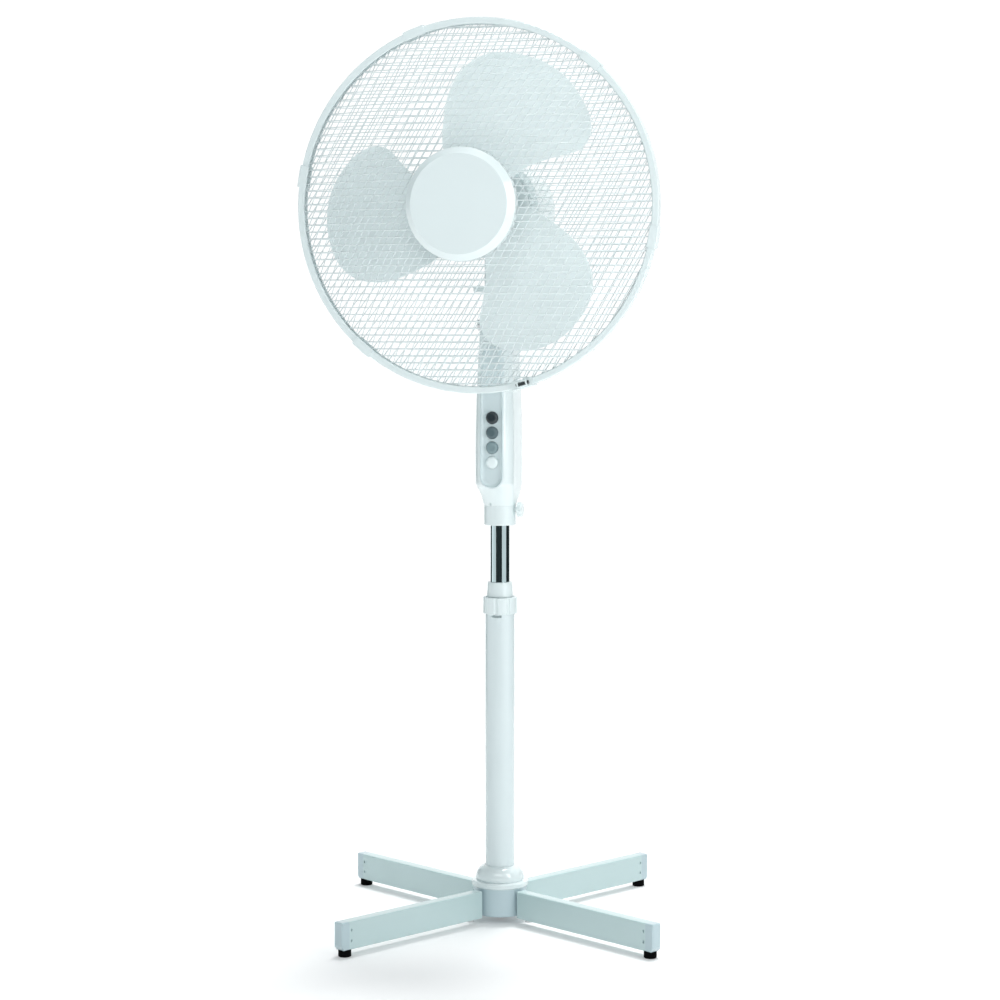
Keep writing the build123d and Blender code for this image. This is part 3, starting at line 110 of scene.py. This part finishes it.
# ---------------------------------------------------------------- surfaces; every colour is linear
WHITE = (0.755, 0.835, 0.842)
DRIFT = 0.985                           # a plain surface's darker tone, as a share of its colour
NOISE_LOW = 0.35                        # nearly all of a noise lies between these two
NOISE_HIGH = 0.65


# ================================================================ node helpers
def new_material(name):
    mat = bpy.data.materials.new(name)
    mat.use_nodes = True
    tree = mat.node_tree
    return mat, tree, tree.nodes["Principled BSDF"]


def object_coords(tree, stretch=(1, 1, 1)):
    coords = tree.nodes.new("ShaderNodeTexCoord")
    mapping = tree.nodes.new("ShaderNodeMapping")
    mapping.inputs["Scale"].default_value = stretch
    tree.links.new(coords.outputs["Object"], mapping.inputs["Vector"])
    return mapping.outputs["Vector"]


def noise(tree, vector, scale, detail=3.0, roughness=0.5):
    node = tree.nodes.new("ShaderNodeTexNoise")
    node.inputs["Scale"].default_value = scale
    node.inputs["Detail"].default_value = detail
    node.inputs["Roughness"].default_value = roughness
    tree.links.new(vector, node.inputs["Vector"])
    return node.outputs["Fac"]


def spread(tree, factor, low, high):
    """Maps a noise to a range of values."""
    node = tree.nodes.new("ShaderNodeMapRange")
    node.inputs["From Min"].default_value = NOISE_LOW
    node.inputs["From Max"].default_value = NOISE_HIGH
    node.inputs["To Min"].default_value = low
    node.inputs["To Max"].default_value = high
    tree.links.new(factor, node.inputs["Value"])
    return node.outputs["Result"]


def ramp(tree, factor, stops):
    node = tree.nodes.new("ShaderNodeValToRGB")
    elements = node.color_ramp.elements
    while len(elements) < len(stops):
        elements.new(0.5)
    for element, (position, colour) in zip(elements, stops):
        element.position = position
        element.color = (*colour, 1)
    tree.links.new(factor, node.inputs["Fac"])
    return node.outputs["Color"]


def tint(tree, bsdf, factor, first, second):
    """Colours a surface between two tones."""
    tones = ramp(tree, factor, [(NOISE_LOW, first), (NOISE_HIGH, second)])
    tree.links.new(tones, bsdf.inputs["Base Color"])


def polish(tree, bsdf, factor, low, high):
    """Varies a surface's roughness between two values."""
    tree.links.new(spread(tree, factor, low, high), bsdf.inputs["Roughness"])


def bump(tree, bsdf, height, strength, distance):
    node = tree.nodes.new("ShaderNodeBump")
    node.inputs["Strength"].default_value = strength
    node.inputs["Distance"].default_value = distance
    tree.links.new(height, node.inputs["Height"])
    tree.links.new(node.outputs["Normal"], bsdf.inputs["Normal"])


def scaled(colour, share):
    return tuple(channel * share for channel in colour)


# ================================================================ materials
def moulded(name, colour, rough=0.22, coat=0.4):
    """Moulded plastic: a fine orange peel, slow drift of tone and of polish."""
    mat, tree, bsdf = new_material(name)
    where = object_coords(tree)
    tint(tree, bsdf, noise(tree, where, scale=9.0, detail=2.0), scaled(colour, DRIFT), colour)
    polish(tree, bsdf, noise(tree, where, scale=20.0, detail=1.0), rough - 0.02, rough + 0.02)
    peel = noise(tree, where, scale=2600.0, detail=1.0, roughness=0.4)
    bump(tree, bsdf, peel, strength=0.15, distance=0.00001)
    bsdf.inputs["Coat Weight"].default_value = coat
    bsdf.inputs["Coat Roughness"].default_value = 0.12
    bsdf.inputs["IOR"].default_value = 1.5
    return mat


def painted(name, colour, rough=0.24):
    """Powder-coated steel: a wider peel than plastic, and a duller coat."""
    mat, tree, bsdf = new_material(name)
    where = object_coords(tree)
    tint(tree, bsdf, noise(tree, where, scale=14.0), scaled(colour, DRIFT), colour)
    polish(tree, bsdf, noise(tree, where, scale=18.0, detail=1.0), rough - 0.02, rough + 0.03)
    peel = noise(tree, where, scale=2400.0, detail=1.0, roughness=0.4)
    bump(tree, bsdf, peel, strength=0.15, distance=0.00001)
    bsdf.inputs["Coat Weight"].default_value = 0.35
    bsdf.inputs["Coat Roughness"].default_value = 0.15
    return mat


def metal(name, colour, rough, stretch=(1, 1, 1), scale=300.0, depth=0.00001):
    """Bare metal with grain, or with drawn or turned marks where it is stretched along one direction."""
    mat, tree, bsdf = new_material(name)
    marks = noise(tree, object_coords(tree, stretch), scale, detail=5.0, roughness=0.65)
    tint(tree, bsdf, marks, scaled(colour, 0.88), colour)
    polish(tree, bsdf, marks, rough * 0.75, rough * 1.35)
    bump(tree, bsdf, marks, strength=0.3, distance=depth)
    bsdf.inputs["Metallic"].default_value = 1.0
    return mat


def blade_plastic():
    """Pale polystyrene with smooth, even faces."""
    mat, tree, bsdf = new_material("blade_milky")
    where = object_coords(tree)
    tint(tree, bsdf, noise(tree, where, scale=7.0, detail=2.0), (0.80, 0.875, 0.88), (0.83, 0.905, 0.91))
    polish(tree, bsdf, noise(tree, where, scale=20.0, detail=1.0), 0.27, 0.31)
    bump(tree, bsdf, noise(tree, where, scale=2400.0, detail=1.0), strength=0.1, distance=0.000005)
    bsdf.inputs["IOR"].default_value = 1.45
    return mat


def rubber():
    """Near-black rubber: no shine, and a coarse bump."""
    mat, tree, bsdf = new_material("rubber_black")
    where = object_coords(tree)
    tint(tree, bsdf, noise(tree, where, scale=60.0), (0.0015, 0.0015, 0.0018), (0.003, 0.003, 0.0035))
    polish(tree, bsdf, noise(tree, where, scale=300.0), 0.65, 0.85)
    pits = noise(tree, where, scale=1800.0, detail=4.0, roughness=0.7)
    bump(tree, bsdf, pits, strength=0.5, distance=0.00008)
    bsdf.inputs["Specular IOR Level"].default_value = 0.05
    return mat


def laminated():
    """Stacked steel sheets, seen edge-on as fine lines across the head's axis."""
    mat, tree, bsdf = new_material("laminated_steel")
    sheets = noise(tree, object_coords(tree, (1, 60, 1)), scale=40.0, detail=2.0)
    tint(tree, bsdf, sheets, (0.10, 0.10, 0.11), (0.24, 0.25, 0.26))
    bump(tree, bsdf, sheets, strength=0.6, distance=0.0001)
    bsdf.inputs["Metallic"].default_value = 0.8
    bsdf.inputs["Roughness"].default_value = 0.45
    return mat


BADGE_PLASTIC = moulded("badge_plastic", WHITE, coat=0.5)
BY_SLOT = {
    "white": moulded("white_plastic", WHITE),
    "white_paint": painted("white_paint", (0.70, 0.785, 0.80)),
    "leg_paint": painted("leg_paint", (0.52, 0.66, 0.665)),
    "base_plastic": moulded("base_plastic", (0.48, 0.60, 0.64)),
    "black_steel": painted("black_steel", (0.02, 0.028, 0.03), rough=0.35),
    "chrome": metal(
        "chrome_tube", (0.50, 0.61, 0.63), 0.035, stretch=(1, 1, 0.03), scale=500.0, depth=0.000002
    ),
    "rubber": rubber(),
    "panel": moulded("panel_plastic", (0.62, 0.72, 0.74), rough=0.30),
    "blade": blade_plastic(),
    "dark_plastic": moulded("dark_plastic", (0.030, 0.038, 0.042), rough=0.38, coat=0.1),
    "steel": metal("screw_steel", (0.60, 0.61, 0.62), 0.28, scale=700.0),
    "wire": painted("wire_paint", (0.74, 0.81, 0.82), rough=0.25),
    "lamination": laminated(),
    "copper": metal("copper_wire", (0.78, 0.38, 0.20), 0.30, stretch=(1, 30, 1), scale=120.0, depth=0.0001),
    "bronze": metal("sintered_bronze", (0.62, 0.45, 0.24), 0.45, scale=1200.0, depth=0.00005),
    "casting": metal("die_casting", (0.50, 0.51, 0.53), 0.42, scale=900.0, depth=0.00006),
    "nylon": moulded("nylon", (0.78, 0.77, 0.70), rough=0.42, coat=0.0),
    "button_black": moulded("button_black", (0.018, 0.030, 0.036), rough=0.32),
    "button_dark": moulded("button_slate", (0.085, 0.130, 0.145), rough=0.32),
    "button_grey": moulded("button_grey", (0.20, 0.28, 0.30), rough=0.32),
    "button_white": moulded("button_white", (0.78, 0.87, 0.88), rough=0.30),
}


def dress(obj, mat):
    obj.data.materials.clear()
    obj.data.materials.append(mat)


slots = {part["node"]: part["material_slot"] for part in frame["record"]["subparts"]}
for name, node in frame["nodes"].items():
    dress(node, BY_SLOT[slots[name]])
dress(frame["nodes"]["badge"], BADGE_PLASTIC)


# ================================================================ mesh helpers
def piece(name, mesh, mat, body, slot, *nodes):
    """Puts a finished mesh into the scene as a piece that rides on a body and stands for CAD nodes."""
    mesh.name = name
    obj = bpy.data.objects.new(name, mesh)
    bpy.context.scene.collection.objects.link(obj)
    obj.data.materials.append(mat)
    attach(obj, body)
    if nodes:
        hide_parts(*nodes)
    return obj


def mesh_from(verts, faces, smooth=True):
    mesh = bpy.data.meshes.new("mesh")
    mesh.from_pydata(verts, [], faces)
    mesh.validate()
    if smooth:
        mesh.shade_smooth()
    return mesh


class Shape:
    """Vertices and faces of one mesh, gathered from several closed forms."""

    def __init__(self):
        self.verts = []
        self.faces = []

    def tube(self, points, radius, sides, across):
        """A round wire with capped ends, along points in one plane; across is that plane's normal."""
        base = len(self.verts)
        count = len(points)
        side = Vector(across).normalized()
        for i, point in enumerate(points):
            before = points[max(i - 1, 0)]
            after = points[min(i + 1, count - 1)]
            along = (after - before).normalized()
            up = side.cross(along)
            for k in range(sides):
                turn = 2 * math.pi * k / sides
                self.verts.append(point + radius * (math.cos(turn) * side + math.sin(turn) * up))
        for i in range(count - 1):
            for k in range(sides):
                a = base + i * sides + k
                b = base + i * sides + (k + 1) % sides
                self.faces.append((a, b, b + sides, a + sides))
        self.faces.append(tuple(base + k for k in reversed(range(sides))))
        self.faces.append(tuple(base + (count - 1) * sides + k for k in range(sides)))

    def lathe(self, profile, steps):
        """A closed profile of (radius, y) points, in order, turned about the head's axis."""
        base = len(self.verts)
        count = len(profile)
        for s in range(steps):
            turn = 2 * math.pi * s / steps
            for r, y in profile:
                self.verts.append(Vector((r * math.cos(turn), y, AXIS.z + r * math.sin(turn))))
        for s in range(steps):
            for i in range(count):
                a = base + s * count + i
                b = base + s * count + (i + 1) % count
                c = base + (s + 1) % steps * count + (i + 1) % count
                d = base + (s + 1) % steps * count + i
                self.faces.append((a, b, c, d))


# ================================================================ wire guards
def wire_runs(offset, inner_r):
    """The stretches of a straight line, offset from the centre, between the plate and the ring."""
    reach = math.sqrt(RING_R**2 - offset**2)
    if abs(offset) >= inner_r:
        return [(-reach, reach)]
    hidden = math.sqrt(inner_r**2 - offset**2)
    return [(-reach, -hidden), (hidden, reach)]


def weave_wires(shape, dome_y, bulge, plate_r):
    """Two families of parallel wires, bent to the dome."""
    lines = int(RING_R / WIRE_PITCH) + 1
    for family, lean in enumerate(WIRE_LEANS):
        along = Vector((math.cos(lean), 0, math.sin(lean)))
        across = Vector((-math.sin(lean), 0, math.cos(lean)))
        layer = -bulge * family * WIRE_LAYER
        for k in range(-lines, lines):
            offset = (k + 0.5) * WIRE_PITCH
            if abs(offset) > RING_R - 2 * WIRE_R:
                continue
            for start, end in wire_runs(offset, plate_r - WIRE_TUCK):
                pieces = max(2, int((end - start) / WIRE_STEP))
                points = []
                for i in range(pieces + 1):
                    s = start + (end - start) * i / pieces
                    r = min(math.hypot(s, offset), RING_R)
                    points.append(AXIS + along * s + across * offset + Vector((0, dome_y(r) + layer, 0)))
                shape.tube(points, WIRE_R, WIRE_SIDES, across)


def ring_profile(ring_y):
    profile = []
    for k in range(RING_WIRE_SIDES):
        turn = 2 * math.pi * k / RING_WIRE_SIDES
        profile.append((RING_R + RING_WIRE_R * math.cos(turn), ring_y + RING_WIRE_R * math.sin(turn)))
    return profile


def plate_profile(plate_y, bulge, plate_r, hole_r):
    drop = bulge * PLATE_LIP_DROP
    return [
        (hole_r, plate_y - PLATE_HALF),
        (plate_r - PLATE_LIP, plate_y - PLATE_HALF),
        (plate_r, plate_y - PLATE_HALF - drop),
        (plate_r, plate_y + PLATE_HALF - drop),
        (plate_r - PLATE_LIP, plate_y + PLATE_HALF),
        (hole_r, plate_y + PLATE_HALF),
    ]


def wire_guard(sphere_r, ring_y, bulge, plate_r, hole_r):
    """One half of the guard: wires on a dome, a ring and a middle plate. bulge is -1 forward or 1 back."""
    centre_y = ring_y - bulge * math.sqrt(sphere_r**2 - DOME_EDGE_R**2)

    def dome_y(r):
        return centre_y + bulge * math.sqrt(sphere_r**2 - r**2)

    shape = Shape()
    weave_wires(shape, dome_y, bulge, plate_r)
    shape.lathe(ring_profile(ring_y), RING_STEPS)
    plate_y = dome_y(plate_r) - bulge * PLATE_INSET
    shape.lathe(plate_profile(plate_y, bulge, plate_r, hole_r), PLATE_STEPS)
    return mesh_from(shape.verts, shape.faces)


piece(
    "front_wire_guard",
    wire_guard(FRONT_DOME_R, FRONT_RING_Y, -1, FRONT_PLATE_R, FRONT_HOLE_R),
    BY_SLOT["wire"], "head", "wire", "front_guard",
)
piece(
    "rear_wire_guard",
    wire_guard(REAR_DOME_R, REAR_RING_Y, 1, REAR_PLATE_R, REAR_HOLE_R),
    BY_SLOT["wire"], "head", "wire", "rear_guard",
)


# ================================================================ stage, light and camera
def around(angle, radius, height):
    """A point round the fan, at an angle in degrees from the camera's bearing towards its right."""
    turn = CAMERA_AZIMUTH + math.radians(angle)
    return Vector((radius * math.sin(turn), -radius * math.cos(turn), height))


def stage_object(name, mesh, mat):
    obj = bpy.data.objects.new(name, mesh)
    bpy.context.scene.collection.objects.link(obj)
    obj.data.materials.append(mat)
    return obj


def curved_wall(start, end, strips, radius, height):
    """An upright wall of flat strips, standing on the floor from one angle to another."""
    points = []
    for i in range(strips + 1):
        angle = start + (end - start) * i / strips
        points.append(around(angle, radius, 0.0))
        points.append(around(angle, radius, height))
    faces = [(2 * i, 2 * i + 2, 2 * i + 3, 2 * i + 1) for i in range(strips)]
    return mesh_from(points, faces, smooth=False)


def make_floor():
    half = FLOOR_HALF
    corners = [(-half, -half, 0), (half, -half, 0), (half, half, 0), (-half, half, 0)]
    mat, tree, bsdf = new_material("floor_paper")
    tint(tree, bsdf, noise(tree, object_coords(tree), scale=3.0), (0.80, 0.80, 0.80), (0.81, 0.81, 0.81))
    bsdf.inputs["Roughness"].default_value = 0.9
    bsdf.inputs["Specular IOR Level"].default_value = 0.1
    bsdf.inputs["Emission Color"].default_value = (1, 1, 1, 1)
    bsdf.inputs["Emission Strength"].default_value = FLOOR_GLOW
    stage_object("floor", mesh_from(corners, [(0, 1, 2, 3)], smooth=False), mat)


def make_backdrop():
    """A white wall all round, far off; the camera sees it, and it lights nothing."""
    mat, _, bsdf = new_material("backdrop_paper")
    bsdf.inputs["Base Color"].default_value = (0, 0, 0, 1)
    bsdf.inputs["Emission Color"].default_value = (1, 1, 1, 1)
    bsdf.inputs["Emission Strength"].default_value = BACKDROP_GLOW
    mesh = curved_wall(0, 360, BACKDROP_STEPS, BACKDROP_RADIUS, BACKDROP_HEIGHT)
    wall = stage_object("backdrop", mesh, mat)
    wall.visible_diffuse = False
    wall.visible_glossy = False
    wall.visible_transmission = False
    wall.visible_shadow = False


def make_flags():
    """Black cards round the set, seen only in reflections, for the dark bands in chrome and gloss."""
    mat, _, bsdf = new_material("flag_cloth")
    bsdf.inputs["Base Color"].default_value = (0.012, 0.018, 0.02, 1)
    bsdf.inputs["Roughness"].default_value = 0.9
    for start, end in FLAGS:
        strips = int((end - start) / FLAG_STEP) + 1
        card = stage_object("flag", curved_wall(start, end, strips, FLAG_RADIUS, FLAG_HEIGHT), mat)
        card.visible_camera = False
        card.visible_diffuse = False
        card.visible_shadow = False


def direction_share(tree, coords, axis):
    """How far a direction points along an axis, as 0 (away) to 1 (towards)."""
    dot = tree.nodes.new("ShaderNodeVectorMath")
    dot.operation = "DOT_PRODUCT"
    dot.inputs[1].default_value = Vector(axis).normalized()
    tree.links.new(coords.outputs["Generated"], dot.inputs[0])
    share = tree.nodes.new("ShaderNodeMapRange")
    share.inputs["From Min"].default_value = -1.0
    tree.links.new(dot.outputs["Value"], share.inputs["Value"])
    return share.outputs["Result"]


def make_world():
    """A white studio: brightest behind the fan, half as bright in front, dimmer at both sides."""
    world = bpy.data.worlds.new("studio")
    bpy.context.scene.world = world
    world.use_nodes = True
    tree = world.node_tree
    coords = tree.nodes.new("ShaderNodeTexCoord")
    right = direction_share(tree, coords, around(90, 1, 0))
    front = direction_share(tree, coords, around(0, 1, 0))
    sides = ramp(tree, right, [
        (0.00, (0.28, 0.35, 0.37)),
        (0.20, (0.34, 0.42, 0.44)),
        (0.38, (1.00, 1.00, 1.00)),
        (0.62, (1.00, 1.00, 1.00)),
        (0.80, (0.62, 0.66, 0.67)),
    ])
    depth = ramp(tree, front, [
        (0.22, (1.00, 1.00, 1.00)),
        (0.46, (0.52, 0.55, 0.56)),
        (0.70, (0.40, 0.43, 0.44)),
        (1.00, (0.42, 0.46, 0.47)),
    ])
    mix = tree.nodes.new("ShaderNodeMix")
    mix.data_type = "RGBA"
    mix.blend_type = "MULTIPLY"
    mix.inputs["Factor"].default_value = 1.0
    tree.links.new(sides, mix.inputs["A"])
    tree.links.new(depth, mix.inputs["B"])
    background = tree.nodes["Background"]
    tree.links.new(mix.outputs["Result"], background.inputs["Color"])
    background.inputs["Strength"].default_value = WORLD_STRENGTH


def add_light(name, kind, energy):
    data = bpy.data.lights.new(name, kind)
    data.energy = energy
    light = bpy.data.objects.new(name, data)
    bpy.context.scene.collection.objects.link(light)
    return light


def area_light(name, place, target, size, power):
    light = add_light(name, "AREA", power)
    light.data.shape = "RECTANGLE"
    light.data.size, light.data.size_y = size
    light.location = place
    light.rotation_euler = (Vector(target) - place).to_track_quat("-Z", "Y").to_euler()


def make_lights():
    sun = add_light("overhead", "SUN", SUN_ENERGY)
    sun.data.angle = SUN_ANGLE
    sun.rotation_euler = SUN_TURN
    middle = (0, 0, 0.7)
    head = (0, 0, 0.86)
    area_light("key_right", around(46, 2.3, 1.25), middle, size=(0.6, 1.6), power=KEY_POWER)
    area_light("front_high", around(-8, 2.3, 1.9), head, size=(1.4, 0.8), power=FRONT_POWER)
    area_light("strip_left", around(-98, 2.4, 0.9), middle, size=(0.25, 1.8), power=STRIP_POWER)


def make_camera():
    data = bpy.data.cameras.new("camera")
    data.lens = CAMERA_LENS
    data.sensor_width = CAMERA_SENSOR
    data.clip_end = CAMERA_REACH
    camera = bpy.data.objects.new("camera", data)
    bpy.context.scene.collection.objects.link(camera)
    camera.location = around(0, CAMERA_DISTANCE, CAMERA_HEIGHT)
    camera.rotation_euler = (math.radians(90) - CAMERA_PITCH, 0, CAMERA_AZIMUTH)
    bpy.context.scene.camera = camera


make_floor()
make_backdrop()
make_flags()
make_world()
make_lights()
make_camera()
bpy.context.scene.view_settings.view_transform = "Standard"
